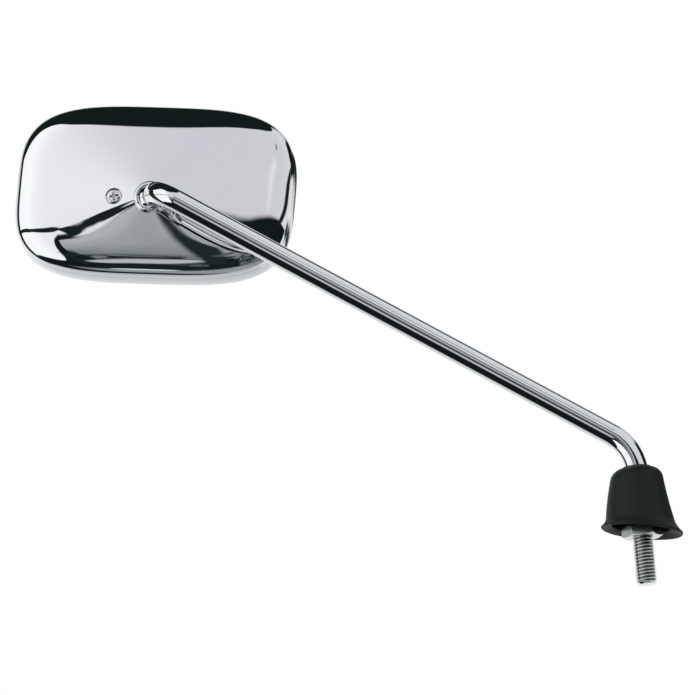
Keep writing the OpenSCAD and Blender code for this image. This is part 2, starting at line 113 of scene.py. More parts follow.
# Pale and dark strips hung in the studio: half width, softness, colour, and a line through
# azimuths and elevations
STRIPS = [
    (3.5, 1.5, "#eeeff0", [(48, -49), (140, -49)]),
    (1.8, 0.7, "#d4d7d8", [(-38, -53), (-33.5, -50)]),
    (1.9, 0.4, "#18211f", [(-120, 5), (-90, 7.8), (-50, 15.5)]),
    (1.4, 0.3, "#18211f", [(-50, 15.5), (-38, 18.3), (-28, 20.9)]),
    (0.5, 0.15, "#18211f", [(-28, 21), (-26.2, 20.7), (-25, 18.4), (-24.3, 15.8)]),
    (13, 2, "#18211f", [(-105, -38), (-105, -10), (-106, 24)]),
    (5, 2, "#2a3335", [(110, -3), (150, -2)]),
    (3.5, 1.2, "#18211f", [(40, 11), (92, 13)]),
    (2.6, 1.2, "#b4b8bb", [(-18, -14.5), (-26, -24)]),
    (2.8, 0.8, "#1f2829", [(-12, 6.3), (-12.3, -4), (-12.6, -26)]),
    (1.2, 0.6, "#4c5558", [(-11, -4), (-6, 2)]),
    (2.2, 2.5, "#e2e2e5", [(8, 27), (13, 30)]),
    (1.5, 1.2, "#747d7f", [(22.5, 39), (26, 42)]),
    (12, 3, "#131c1b", [(98, 29), (138, 22)]),
    (4, 1, "#131c1b", [(100, 14), (180, 11.5)]),
]
# The tent is lit a little brighter than the white that the camera sees
TENT_STRENGTH = 1.08


def edge_curve(tree, angle, points):
    """Elevation of an edge of the studio at an azimuth, both in degrees."""
    share = add_node(tree, "ShaderNodeMapRange", {0: angle, 1: -180, 2: 180})
    node = add_node(tree, "ShaderNodeFloatCurve", {"Value": share.outputs[0]})
    line = node.mapping.curves[0]
    line.points[0].location = ((points[0][0] + 180) / 360, (points[0][1] + 90) / 180)
    line.points[1].location = ((points[-1][0] + 180) / 360, (points[-1][1] + 90) / 180)
    for azimuth, elevation in points[1:-1]:
        line.points.new((azimuth + 180) / 360, (elevation + 90) / 180)
    node.mapping.update()
    return add_node(tree, "ShaderNodeMapRange", {0: node.outputs[0], 3: -90, 4: 90}).outputs[0]


def tones(tree, angle, points):
    """A colour that changes with an angle, through (angle, colour) points."""
    low, high = points[0][0], points[-1][0]
    share = add_node(tree, "ShaderNodeMapRange", {0: angle, 1: low, 2: high})
    ramp = add_node(tree, "ShaderNodeValToRGB", {0: share.outputs[0]})
    stops = ramp.color_ramp.elements
    stops[0].color = hex_colour(points[0][1])
    stops[1].color = hex_colour(points[-1][1])
    for at, tint in points[1:-1]:
        stops.new((at - low) / (high - low)).color = hex_colour(tint)
    return ramp.outputs[0]


def past(tree, *edges):
    """1 past all edges, each (value, edge, softness) of sockets or numbers, and 0 short of one."""
    mask = 1.0
    for value, edge, soft in edges:
        beyond = add_node(tree, "ShaderNodeMath", {0: value, 1: edge}, operation="SUBTRACT").outputs[0]
        step = add_node(tree, "ShaderNodeMapRange", {0: beyond, 1: -soft, 2: soft},
                        interpolation_type="SMOOTHSTEP").outputs[0]
        mask = add_node(tree, "ShaderNodeMath", {0: mask, 1: step}, operation="MULTIPLY").outputs[0]
    return mask


def strip(tree, position, points, half_width, soft):
    """1 near a line through points in azimuth and elevation, and 0 away from it."""
    nearest = 1000.0
    for start, end in zip(points, points[1:]):
        run = Vector((end[0] - start[0], end[1] - start[1], 0))
        offset = add_node(tree, "ShaderNodeVectorMath", {0: position, 1: (*start, 0)},
                          operation="SUBTRACT").outputs[0]
        along = add_node(tree, "ShaderNodeVectorMath", {0: offset, 1: run / run.length_squared},
                         operation="DOT_PRODUCT").outputs["Value"]
        share = add_node(tree, "ShaderNodeMapRange", {0: along}).outputs[0]
        foot = add_node(tree, "ShaderNodeVectorMath", {0: run, "Scale": share}, operation="SCALE")
        away = add_node(tree, "ShaderNodeVectorMath", {0: offset, 1: foot.outputs[0]},
                        operation="DISTANCE").outputs["Value"]
        nearest = add_node(tree, "ShaderNodeMath", {0: nearest, 1: away}, operation="MINIMUM").outputs[0]
    return past(tree, (half_width, nearest, soft))


world = bpy.data.worlds.new("studio")
bpy.context.scene.world = world
world.use_nodes = True
sky = world.node_tree
sky.nodes.clear()
# where a mirrored ray goes, in degrees: round the part from the camera, and above the horizon
direction = add_node(sky, "ShaderNodeTexCoord", {}).outputs["Generated"]
axes = add_node(sky, "ShaderNodeSeparateXYZ", {0: direction})
toward = add_node(sky, "ShaderNodeMath", {0: axes.outputs["Y"], 1: -1}, operation="MULTIPLY").outputs[0]
azimuth = add_node(sky, "ShaderNodeMath", {0: axes.outputs["X"], 1: toward}, operation="ARCTAN2").outputs[0]
around = add_node(sky, "ShaderNodeMath", {0: azimuth}, operation="DEGREES").outputs[0]
from_front = add_node(sky, "ShaderNodeMath", {0: around}, operation="ABSOLUTE").outputs[0]
elevation = add_node(sky, "ShaderNodeMath", {0: axes.outputs["Z"]}, operation="ARCSINE").outputs[0]
above = add_node(sky, "ShaderNodeMath", {0: elevation}, operation="DEGREES").outputs[0]
flat = add_node(sky, "ShaderNodeCombineXYZ", {0: around, 1: above}).outputs[0]

# the table's front edge and its tones are ragged, by up to 8 degrees, and the ceiling's edge by a
# tenth of that
ragged = add_node(sky, "ShaderNodeTexNoise", {"Vector": direction, "Scale": 7, "Detail": 4}).outputs["Fac"]
waver = add_node(sky, "ShaderNodeMapRange", {0: ragged, 3: -8, 4: 8}).outputs[0]
wavy = add_node(sky, "ShaderNodeMath", {0: above, 1: waver}, operation="ADD").outputs[0]
near_straight = add_node(sky, "ShaderNodeMath", {0: waver, 1: 0.1, 2: above},
                         operation="MULTIPLY_ADD").outputs[0]
mottled = add_node(sky, "ShaderNodeTexNoise",
                   {"Vector": direction, "Scale": 11, "Detail": 5, "Distortion": 1.2}).outputs["Fac"]

# the edges and softness of all but the ragged noise are degrees too
sheet_behind = past(sky, (from_front, 106, 5))
dark_room = past(sky, (edge_curve(sky, around, ROOM), above, 1))
lit_floor = past(sky, (-54, above, 6), (around, -62, 8), (104, around, 8))
table = past(sky, (edge_curve(sky, around, TABLE_BACK), above, 0.6),
             (wavy, edge_curve(sky, around, TABLE_FRONT), 4))
things_on_table = past(sky, (mottled, 0.5, 0.03), (-6, above, 3), (above, -50, 5), (around, -33, 2),
                       (20, around, 4))
dark_ceiling = past(sky, (near_straight, edge_curve(sky, around, CEILING), 0.6))
layers = [(sheet_behind, tones(sky, above, REAR_TONES)), (dark_room, hex_colour("#121a1a")),
          (lit_floor, hex_colour("#8f9496")), (table, tones(sky, wavy, TABLE_TONES)),
          (things_on_table, hex_colour("#1b2426"))]
layers += [(strip(sky, flat, points, half_width, soft), hex_colour(tint))
           for half_width, soft, tint, points in STRIPS]
layers.append((dark_ceiling, hex_colour("#131c1b")))
colour = tones(sky, around, TENT)
for mask, tint in layers:
    colour = add_node(sky, "ShaderNodeMix", {0: mask, 6: colour, 7: tint}, data_type="RGBA").outputs[2]

plain = add_node(sky, "ShaderNodeBackground", {"Color": hex_colour("#ffffff"), "Strength": 1})
panels = add_node(sky, "ShaderNodeBackground", {"Color": colour, "Strength": TENT_STRENGTH})
light_path = add_node(sky, "ShaderNodeLightPath", {})
seen = add_node(sky, "ShaderNodeMixShader",
                {0: light_path.outputs["Is Glossy Ray"], 1: plain.outputs[0], 2: panels.outputs[0]})
add_node(sky, "ShaderNodeOutputWorld", {"Surface": seen.outputs[0]})


# The floor: a sheet of white paper well under the part, seen only from above. Far from the part it
# runs out into the white behind it, so that no horizon shows. One large soft lamp stands over it.
FLOOR_Z = -0.3
FLOOR_SIZE = 8
PAPER_FADE = 1.3
PAPER_FADE_SOFT = 0.9
LAMP_SIZE = 1.2
LAMP_POWER = 9
LAMP_PLACE = Vector((-0.7, -1.2, 1.5))
LAMP_AIM = Vector((-0.1, 0, 0.1))
half = FLOOR_SIZE / 2
floor_mesh = bpy.data.meshes.new("floor")
floor_mesh.from_pydata([(-half, -half, FLOOR_Z), (half, -half, FLOOR_Z), (half, half, FLOOR_Z),
                        (-half, half, FLOOR_Z)], [], [(0, 1, 2, 3)])
floor = bpy.data.objects.new("floor", floor_mesh)
bpy.context.scene.collection.objects.link(floor)
floor.visible_glossy = False

paper = bpy.data.materials.new("white_paper_sweep")
paper.use_nodes = True
tree = paper.node_tree
tree.nodes.clear()
matt = add_node(tree, "ShaderNodeBsdfDiffuse", {"Color": hex_colour("#f6f6f6")})
white = add_node(tree, "ShaderNodeEmission", {"Color": hex_colour("#ffffff"), "Strength": 1})
clear = add_node(tree, "ShaderNodeBsdfTransparent", {})
side = add_node(tree, "ShaderNodeNewGeometry", {})
reach = add_node(tree, "ShaderNodeVectorMath", {0: side.outputs["Position"]}, operation="LENGTH")
far_off = past(tree, (reach.outputs["Value"], PAPER_FADE, PAPER_FADE_SOFT))
to_camera_only = add_node(tree, "ShaderNodeLightPath", {}).outputs["Is Camera Ray"]
fade = add_node(tree, "ShaderNodeMath", {0: far_off, 1: to_camera_only}, operation="MULTIPLY")
sheet = add_node(tree, "ShaderNodeMixShader", {0: fade.outputs[0], 1: matt.outputs[0], 2: white.outputs[0]})
one_sided = add_node(tree, "ShaderNodeMixShader",
                     {0: side.outputs["Backfacing"], 1: sheet.outputs[0], 2: clear.outputs[0]})
add_node(tree, "ShaderNodeOutputMaterial", {"Surface": one_sided.outputs[0]})
floor_mesh.materials.append(paper)

lamp_data = bpy.data.lights.new("soft_lamp", "AREA")
lamp_data.size = LAMP_SIZE
lamp_data.energy = LAMP_POWER
lamp = bpy.data.objects.new("soft_lamp", lamp_data)
bpy.context.scene.collection.objects.link(lamp)
lamp.location = LAMP_PLACE
lamp.rotation_euler = (LAMP_AIM - LAMP_PLACE).to_track_quat("-Z", "Y").to_euler()
lamp.visible_glossy = False


# The stem: one steel rod, turned down to a neck and a ball at one end and threaded at the other,
# bent cold in two places, then polished and chromium plated. The thread is cut before plating.
ROD_R = 5.0
ROD_CHAMFER = 0.4
NECK_R = 3.5
BALL_R = 6.5
BALL_FLAT = 0.3
NECK_REACH = 11.6
ARM_LEN = 243
ARM_RISE = 33.8
BASE_BEND_R = 22
ELBOW_R = 11
ELBOW_TURN = 81
STUB_LEN = 28
THREAD_R = 4.9
THREAD_PITCH = 1.5
THREAD_DEPTH = 0.8
ROOT_ROUNDING = 0.8
NUT_H = 5
NUT_WAIST_R = 4.5
WAIST_FOOT = -0.1
STUD_LEN = 21.3
TIP_R = 3.7
TIP_CHAMFER = 1.5
# width and softness of the band under the crests that stays bright; below it the roots get painted shade
CREST_BAND = 0.58
CREST_SOFT = 0.26
PITCH_STEPS = 16
BALL_STEPS = 48
ROUND_SIDES = 96
up = Vector((0, 0, 1))
arm_dir = Vector((-cos(radians(ARM_RISE)), 0, sin(radians(ARM_RISE))))
stub_dir = cos(radians(ELBOW_TURN)) * arm_dir + sin(radians(ELBOW_TURN)) * Vector((0, 1, 0))
base_corner = Vector((0, 0, RISER_H))
elbow_corner = base_corner + ARM_LEN * arm_dir
ball_at = elbow_corner + STUB_LEN * stub_dir
run_out = NUT_H + ROD_CHAMFER


def bend_points(corner, into, out_of, radius, steps):
    """Centreline points of a round bend at a corner, from the direction into it to the one out of it."""
    turn = into.angle(out_of)
    start = corner - into * radius * tan(turn / 2)
    inward = (out_of - into * into.dot(out_of)).normalized()
    return [start + into * radius * sin(turn * i / steps) + inward * radius * (1 - cos(turn * i / steps))
            for i in range(steps + 1)]


def angles_round(sides):
    """Even angles round one full turn."""
    return [2 * pi * i / sides for i in range(sides)]


def swept_rings(stations, sides):
    """Rings of points round stations, each (centre, direction, radius)."""
    side_axis = Vector((0, 1, 0))
    last = stations[0][1]
    rings = []
    for centre, along, radius in stations:
        side_axis = last.rotation_difference(along) @ side_axis
        last = along
        across = along.cross(side_axis).normalized()
        rings.append([centre + radius * (cos(angle) * side_axis + sin(angle) * across)
                      for angle in angles_round(sides)])
    return rings


def mesh_from_rings(name, rings, loop=False, foot=None):
    """A closed skin through rings of equal length in millimetres, as a mesh in metres. A foot, given
    as points in metres and faces, takes the place of the first ring's end and is closed below."""
    count = len(rings[0])
    points = [Vector(point) * mm for ring in rings for point in ring]
    faces = []
    for k in range(len(rings) if loop else len(rings) - 1):
        this, following = k * count, (k + 1) % len(rings) * count
        faces += [(this + i, this + (i + 1) % count, following + (i + 1) % count, following + i)
                  for i in range(count)]
    if not loop:
        faces.append(tuple(range((len(rings) - 1) * count, len(rings) * count)))
        if foot is None:
            faces.append(tuple(range(count))[::-1])
    if foot is not None:
        first = len(points)
        points += [Vector(point) for point in foot[0]]
        faces += [tuple(first + i for i in face) for face in foot[1]]
        faces.append(tuple(range(first, first + count)))
    mesh = bpy.data.meshes.new(name)
    mesh.from_pydata(points, [], faces)
    skin = bmesh.new()
    skin.from_mesh(mesh)
    bmesh.ops.remove_doubles(skin, verts=skin.verts, dist=1e-7)
    bmesh.ops.recalc_face_normals(skin, faces=skin.faces)
    skin.to_mesh(mesh)
    skin.free()
    return mesh


def thread_radius(z, share):
    """Radius of the stud at a height, at a share of one pitch: crests and roots are rounded."""
    tooth = (0.5 - 0.5 * cos(2 * pi * share)) ** ROOT_ROUNDING
    chamfer = TIP_R + (z + STUD_LEN) * (THREAD_R - TIP_R) / TIP_CHAMFER
    if z >= NUT_H:
        return NUT_WAIST_R
    return min(THREAD_R - THREAD_DEPTH * tooth, chamfer, NUT_WAIST_R if z > WAIST_FOOT else THREAD_R)


def thread_foot():
    """Points and faces of the thread: rows that climb with the helix, cut level at both ends."""
    turns = int((STUD_LEN + NUT_H) / THREAD_PITCH) + 5
    points = []
    for row in range(turns * PITCH_STEPS):
        for i, angle in enumerate(angles_round(ROUND_SIDES)):
            z = -STUD_LEN + THREAD_PITCH * (row / PITCH_STEPS + i / ROUND_SIDES - 2)
            z = min(max(z, -STUD_LEN), NUT_H)
            radius = thread_radius(z, row / PITCH_STEPS % 1)
            points.append((-radius * sin(angle) * mm, radius * cos(angle) * mm, z * mm))
    # the last point of a row meets the first one of the row that lies a whole pitch above
    one_pitch_up = 1 - ROUND_SIDES + PITCH_STEPS * ROUND_SIDES
    faces = []
    for row in range((turns - 1) * PITCH_STEPS - 1):
        for i in range(ROUND_SIDES):
            this = row * ROUND_SIDES + i
            beside = this + (one_pitch_up if i == ROUND_SIDES - 1 else 1)
            faces.append((this, beside, beside + ROUND_SIDES, this + ROUND_SIDES))
    return points, faces


def smooth(mesh, sharp_degrees):
    """Shades a mesh smooth, apart from edges sharper than the angle."""
    mesh.polygons.foreach_set("use_smooth", [True] * len(mesh.polygons))
    mesh.set_sharp_from_angle(angle=radians(sharp_degrees))


def place(name, mesh, materials, body, node):
    """Makes an object from a mesh in place of a CAD node, riding on a body, with a material slot."""
    for material in materials:
        mesh.materials.append(material)
    piece = bpy.data.objects.new(name, mesh)
    bpy.context.scene.collection.objects.link(piece)
    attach(piece, body)
    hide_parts(node)


def finish(name, tint, metallic, roughness, grain_mm, bump_mm=0.0, stretch=(1, 1, 1), detail=4):
    """A material whose roughness varies between two values in grains of a real size, with an
    optional bump of a real depth."""
    material = bpy.data.materials.new(name)
    material.use_nodes = True
    tree = material.node_tree
    shader = tree.nodes["Principled BSDF"]
    shader.inputs["Base Color"].default_value = hex_colour(tint)
    shader.inputs["Metallic"].default_value = metallic
    at = add_node(tree, "ShaderNodeTexCoord", {}).outputs["Object"]
    in_mm = add_node(tree, "ShaderNodeMapping", {0: at, "Scale": [factor / mm for factor in stretch]})
    grain = add_node(tree, "ShaderNodeTexNoise",
                     {"Vector": in_mm.outputs[0], "Scale": 1 / grain_mm, "Detail": detail}).outputs["Fac"]
    rough = add_node(tree, "ShaderNodeMapRange", {0: grain, 3: roughness[0], 4: roughness[1]})
    tree.links.new(rough.outputs[0], shader.inputs["Roughness"])
    if bump_mm:
        bump = add_node(tree, "ShaderNodeBump", {"Height": grain, "Strength": 1, "Distance": bump_mm * mm})
        tree.links.new(bump.outputs[0], shader.inputs["Normal"])
    return material


# from the chamfer over the nut, round both bends to the ball
stations = [(up * NUT_H, up, NUT_WAIST_R), (up * run_out, up, NUT_WAIST_R),
            (up * (run_out + 0.01), up, ROD_R - ROD_CHAMFER), (up * (run_out + ROD_CHAMFER), up, ROD_R)]
for corner, into, out_of, radius, steps in ((base_corner, up, arm_dir, BASE_BEND_R, 40),
                                            (elbow_corner, arm_dir, stub_dir, ELBOW_R, 60)):
    turn = into.angle(out_of)
    for i, point in enumerate(bend_points(corner, into, out_of, radius, steps)):
        share = i / steps
        along = (into * sin(turn * (1 - share)) + out_of * sin(turn * share)).normalized()
        stations.append((point, along, ROD_R))
# the turned end as (distance past the ball's centre, radius): rounded cone, neck, ball and its flat
turned = [(-NECK_REACH - 0.6, ROD_R), (-NECK_REACH - 0.25, ROD_R - 0.06), (-NECK_REACH + 0.05, ROD_R - 0.28),
          (-NECK_REACH + 1.2, NECK_R + 0.3), (-NECK_REACH + 1.5, NECK_R + 0.07), (-NECK_REACH + 1.9, NECK_R)]
neck_foot = sqrt(BALL_R ** 2 - NECK_R ** 2)
turned += [(-neck_foot - 0.3, NECK_R), (-neck_foot, NECK_R + 0.1)]
flat_at = BALL_R - BALL_FLAT
neck_angle = Vector((-neck_foot, NECK_R + 0.1)).angle(Vector((-1, 0)))
flat_angle = Vector((flat_at, sqrt(BALL_R ** 2 - flat_at ** 2))).angle(Vector((-1, 0)))
for i in range(1, BALL_STEPS + 1):
    angle = neck_angle + (flat_angle - neck_angle) * i / BALL_STEPS
    turned.append((-BALL_R * cos(angle), BALL_R * sin(angle)))
stations += [(ball_at + stub_dir * past_centre, stub_dir, radius) for past_centre, radius in turned]

# polishing leaves faint haze in patches a few millimetres long: it only softens the mirror
chrome_steel = finish("chromium_plated_polished_steel", "#f1f2f3", 1, (0.015, 0.06), 8.33, detail=3)

# painted shade: the base colour is bright on the crests and the tip, and painted grey down in the thread's
# roots, where shade falls
plated_thread = finish("chromium_plated_cut_thread", "#f3f4f3", 1, (0.12, 0.22), 0.714)
tree = plated_thread.node_tree
in_mm = tree.nodes["Mapping"].outputs[0]
across = add_node(tree, "ShaderNodeVectorMath", {0: in_mm, 1: (1, 1, 0)}, operation="MULTIPLY")
from_axis = add_node(tree, "ShaderNodeVectorMath", {0: across.outputs[0]}, operation="LENGTH")
height = add_node(tree, "ShaderNodeSeparateXYZ", {0: in_mm}).outputs["Z"]
on_crest = past(tree, (from_axis.outputs["Value"], THREAD_R - CREST_BAND, CREST_SOFT))
on_tip = past(tree, (TIP_CHAMFER - STUD_LEN - 0.2, height, 0.3))
crest_and_tip_unshaded = add_node(tree, "ShaderNodeMath", {0: on_crest, 1: on_tip}, operation="MAXIMUM").outputs[0]
# painted shade: grey base colour in the thread's roots, bright chrome white on the crests and the tip
colour_with_painted_root_shade = add_node(tree, "ShaderNodeMix", {0: crest_and_tip_unshaded, 6: hex_colour("#6a7173"), 7: hex_colour("#f3f4f3")},
                   data_type="RGBA")
tree.links.new(colour_with_painted_root_shade.outputs[2], tree.nodes["Principled BSDF"].inputs["Base Color"])

stem_mesh = mesh_from_rings("stem_rod", swept_rings(stations, ROUND_SIDES), foot=thread_foot())
smooth(stem_mesh, 40)
place("stem_rod", stem_mesh, [chrome_steel, plated_thread], "stem", "stem")
for face in stem_mesh.polygons:
    face.material_index = 1 if face.center.z < (run_out + ROD_CHAMFER / 2) * mm else 0


# The lock nut: a thin hexagon nut of free-cutting steel, bright zinc plated. Its bright flats
# keep fine lines from the bar that it was cut from.
def dress(node, material):
    """Gives a CAD node's object a material."""
    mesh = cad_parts[node].data
    mesh.materials.clear()
    mesh.materials.append(material)


# zinc is paler and duller than chrome, so it shows only soft lights and no sharp reflections
zinc = finish("bright_zinc_plated_steel", "#e6e7e4", 1, (0.16, 0.3), 0.8, 0.003, (1, 1, 0.1))
dress("lock_nut", zinc)


# The rubber boot: a bell moulded in black rubber, pushed up the rod to show the nut, with a thick
# crown that grips the rod, a flared rim and a broad sloping lip inside the mouth.
BOOT_H = 29.6
BOOT_OVERRUN = 2.75
BOOT_RIM_R = 18.1
BOOT_RIM_ROUND = 0.8
BOOT_SKIRT_R = 15.2
BOOT_SHOULDER_R = 12
BOOT_SHOULDER_ROUND = 6
BOOT_WALL = 2.2
BOOT_CROWN = 7.6
BOOT_CROWN_DROP = 0.6
BOOT_CEILING_ROUND = 1.4
BOOT_LIP_W = 4.9
BOOT_LIP_SLOPE = 0.39
BOOT_FLARE_H = 5.9
BOOT_BORE_R = 5.3
BOOT_SKEW = 0.17
BOOT_LEAN = 0.8
boot_top = RISER_H - BASE_BEND_R * tan(radians(90 - ARM_RISE) / 2) + BOOT_OVERRUN
boot_rim = boot_top - BOOT_H
boot_ceiling = boot_top - BOOT_CROWN
boot_flare = boot_rim + BOOT_FLARE_H
mouth_r = BOOT_RIM_R - BOOT_LIP_W
mouth_z = boot_rim + BOOT_LIP_SLOPE * BOOT_LIP_W


def arc(x, z, radius, start, end, steps):
    """Points of an arc in a section, angles in degrees."""
    angles = [radians(start + (end - start) * i / steps) for i in range(steps + 1)]
    return [(x + radius * cos(angle), z + radius * sin(angle)) for angle in angles]


def revolved(name, section, sides):
    """A ring-shaped mesh: a closed section of (radius, height) points turned about the stud's axis."""
    rings = [[(radius * cos(angle), radius * sin(angle), z) for angle in angles_round(sides)]
             for radius, z in section]
    return mesh_from_rings(name, rings, loop=True)


taper = np.degrees(np.arctan((BOOT_SKIRT_R - BOOT_SHOULDER_R)
                             / (boot_top - BOOT_SHOULDER_ROUND - boot_flare)))
# up the bore, over the crown and down the skirt to the rim
boot_section = [(BOOT_BORE_R, boot_ceiling), (BOOT_BORE_R, boot_top - 0.8),
                (BOOT_BORE_R + 0.25, boot_top - 0.25), (BOOT_BORE_R + 0.8, boot_top)]
boot_section += arc(BOOT_SHOULDER_R - BOOT_SHOULDER_ROUND, boot_top - BOOT_SHOULDER_ROUND - BOOT_CROWN_DROP,
                    BOOT_SHOULDER_ROUND, 82, taper, 20)
shoulder_r, shoulder_z = boot_section[-1]
boot_section += [(shoulder_r + (BOOT_SKIRT_R - shoulder_r) * i / 10,
                  shoulder_z + (boot_flare - shoulder_z) * i / 10) for i in range(1, 10)]
boot_section += [(BOOT_SKIRT_R + (BOOT_RIM_R - BOOT_SKIRT_R) * (i / 16) ** 1.6,
                  boot_flare - (BOOT_FLARE_H - BOOT_RIM_ROUND) * i / 16) for i in range(14)]
boot_section += arc(BOOT_RIM_R - BOOT_RIM_ROUND, boot_rim + BOOT_RIM_ROUND, BOOT_RIM_ROUND, 20, -80, 8)
# over the lip into the mouth, and up the inside
boot_section += [(mouth_r + 0.3, mouth_z - 0.1), (mouth_r, mouth_z + 0.2), (mouth_r, mouth_z + 1),
                 (mouth_r + 0.1, mouth_z + 1.4), (BOOT_SKIRT_R - BOOT_WALL, boot_flare + 1)]
boot_section += arc(BOOT_SHOULDER_R - BOOT_WALL - BOOT_CEILING_ROUND, boot_ceiling - BOOT_CEILING_ROUND,
                    BOOT_CEILING_ROUND, 0, 90, 6)
boot_mesh = revolved("boot_bell", boot_section, 128)
# pushing it up against the bend has set the soft skirt askew and pulled its shoulder to one side
for vertex in boot_mesh.vertices:
    down = min(max((boot_ceiling * mm - vertex.co.z) / ((boot_ceiling - boot_rim) * mm), 0), 1)
    height = min(max((vertex.co.z / mm - boot_rim) / BOOT_H, 0), 1)
    if vertex.co.xy.length > (BOOT_BORE_R + 1.5) * mm:
        vertex.co.x -= BOOT_LEAN * mm * sin(pi * height)
    vertex.co.z -= BOOT_SKEW * vertex.co.x * down ** 1.5
smooth(boot_mesh, 40)
# a moulded skin is nearly matt, with a weak sheen that shows its roundness
rubber = finish("moulded_black_rubber", "#0f1817", 0, (0.42, 0.62), 0.6, 0.012)
rubber.node_tree.nodes["Principled BSDF"].inputs["Specular IOR Level"].default_value = 0.25
place("boot_bell", boot_mesh, [rubber], "boot", "rubber_boot")


# The back of the head: ABS moulded in one piece with its ball socket, screw boss and heel, then
# plated with chromium. Plated plastic is a little wavy, so straight reflections waver in it.
HEAD_W = 125
HEAD_H = 81
HEAD_PAN = -6.5
HEAD_TILT = -8.7
HEAD_SPIN = 8.6
OUTLINE_N = 3.5
MIDDLE_N = 2.2
BALL_DROP = 6.3
SHOULDER_RISE = 6
CONE_RISE = 7
SHOULDER_POWER = 8
SIDE_POWER = 9
SHELL_WALL = 2
THROAT_R = 5.8
THROAT_CHAMFER = 0.5
LIP_RISE = 1.2
LIP_R = 7.2
LIP_BEAD = 0.9
LIP_FILLET = 0.6
SEAT_CLEARANCE = 0.1
SEAT_FOOT_Z = 0.6
SOCKET_R = 10
SOCKET_DEPTH = 3.6
CUP_SPACE_R = 8.0
SCREW_X = 16.4
BOSS_WALL = 1.4
RECESS_R = 3.85
RECESS_DEPTH = 2.2
SCREW_HOLE_R = 2.2
HEEL_X = 14
HEEL_R = 3
HEEL_REACH = 1.2
SUNK = 0.4
AXIS_GAP = 0.01
SKIN_SIDES = 288
SHOULDER_STEPS = 44
CONE_STEPS = 14
CONE_END_SHARE = 0.06
SEAT_STEPS = 8
lip_top = sqrt(BALL_R ** 2 - THROAT_R ** 2) + LIP_RISE
dome_top = lip_top - 0.1
seam_z = dome_top - SHOULDER_RISE - CONE_RISE
seat_r = BALL_R + SEAT_CLEARANCE
head_turn = (Matrix.Rotation(radians(HEAD_PAN), 3, "Z") @ Matrix.Rotation(radians(HEAD_TILT), 3, "X")
             @ Matrix.Rotation(radians(HEAD_SPIN), 3, "Y") @ Matrix.Rotation(radians(90), 3, "X"))


def to_head(point):
    """A point of the head's own frame, ball at the origin and back upwards, in the part's frame."""
    return ball_at + head_turn @ Vector(point)


def bent(value, power):
    """A power of a value that keeps its sign."""
    return abs(value) ** power * (1 if value >= 0 else -1)


def outline(share, squareness, inset, sides):
    """One ring of the head's rounded rectangle, drawn in by an inset and scaled about the ball."""
    return [(share * (HEAD_W / 2 - inset) * bent(cos(angle), 2 / squareness),
             share * ((HEAD_H / 2 - inset) * bent(sin(angle), 2 / squareness) + BALL_DROP))
            for angle in angles_round(sides)]


def dome_height(share, side=0.0):
    """Height of the back's skin: a cone, and a shoulder that is tighter towards the two sides."""
    power = SHOULDER_POWER + SIDE_POWER * side
    return seam_z + CONE_RISE * (1 - share) + SHOULDER_RISE * sqrt(max(0, 1 - share ** power))


def dome_rings(wall, sides):
    """Rings of the back, drawn in by a wall: close together down the shoulder, wider on the cone."""
    thinned = 1 - wall / (SHOULDER_RISE + CONE_RISE)
    shares = [cos(radians(86 * i / SHOULDER_STEPS)) ** 0.25 for i in range(SHOULDER_STEPS + 1)]
    shares += [shares[-1] + (CONE_END_SHARE - shares[-1]) * i / CONE_STEPS for i in range(1, CONE_STEPS + 1)]
    rings = []
    for share in shares:
        edge = outline(share, MIDDLE_N + (OUTLINE_N - MIDDLE_N) * share, wall, sides)
        heights = [dome_height(share, cos(angle) ** 2) for angle in angles_round(sides)]
        rings.append([to_head((x, y, seam_z + thinned * (height - seam_z)))
                      for (x, y), height in zip(edge, heights)])
    return rings


def turned_solid(name, section, sides=ROUND_SIDES, x=0.0):
    """A solid of revolution in the head's frame: (radius, height) points from axis to axis."""
    rings = [[to_head((x + radius * cos(angle), radius * sin(angle), z)) for angle in angles_round(sides)]
             for radius, z in section]
    return mesh_from_rings(name, rings)


def combined(mesh, tool, operation):
    """The mesh joined or cut with a tool's mesh, exactly, without the slivers that a cut leaves."""
    pieces = [bpy.data.objects.new("piece", mesh), bpy.data.objects.new("tool", tool)]
    for piece in pieces:
        bpy.context.scene.collection.objects.link(piece)
    modifier = pieces[0].modifiers.new("cut", "BOOLEAN")
    modifier.operation = operation
    modifier.solver = "EXACT"
    modifier.object = pieces[1]
    bpy.context.view_layer.update()
    evaluated = pieces[0].evaluated_get(bpy.context.evaluated_depsgraph_get())
    result = bpy.data.meshes.new_from_object(evaluated)
    result.materials.clear()
    skin = bmesh.new()
    skin.from_mesh(result)
    bmesh.ops.dissolve_degenerate(skin, dist=2e-6, edges=skin.edges)
    skin.to_mesh(result)
    skin.free()
    for piece in pieces:
        bpy.data.objects.remove(piece)
    return result


# the dome, and the ball's socket with its lip, standing through it; cuts run past both its ends
head_mesh = mesh_from_rings("head_back", dome_rings(SHELL_WALL, SKIN_SIDES)[::-1]
                            + dome_rings(0, SKIN_SIDES))
cut_foot = -SOCKET_DEPTH - 1
cut_top = lip_top + 2
back_slope = CONE_RISE / (HEAD_H / 2 - BALL_DROP)
lip_foot = dome_top - back_slope * (LIP_R + LIP_FILLET)
socket = [(AXIS_GAP, -SOCKET_DEPTH), (SOCKET_R, -SOCKET_DEPTH),
          (SOCKET_R, dome_top - back_slope * SOCKET_R - SUNK), (LIP_R + LIP_FILLET, lip_foot - 0.2),
          (LIP_R + 0.2, lip_foot + 0.25), (LIP_R, lip_foot + LIP_FILLET)]
socket += arc(LIP_R - LIP_BEAD, lip_top - LIP_BEAD, LIP_BEAD, 0, 90, 8) + [(AXIS_GAP, lip_top)]
head_mesh = combined(head_mesh, turned_solid("socket", socket), "UNION")
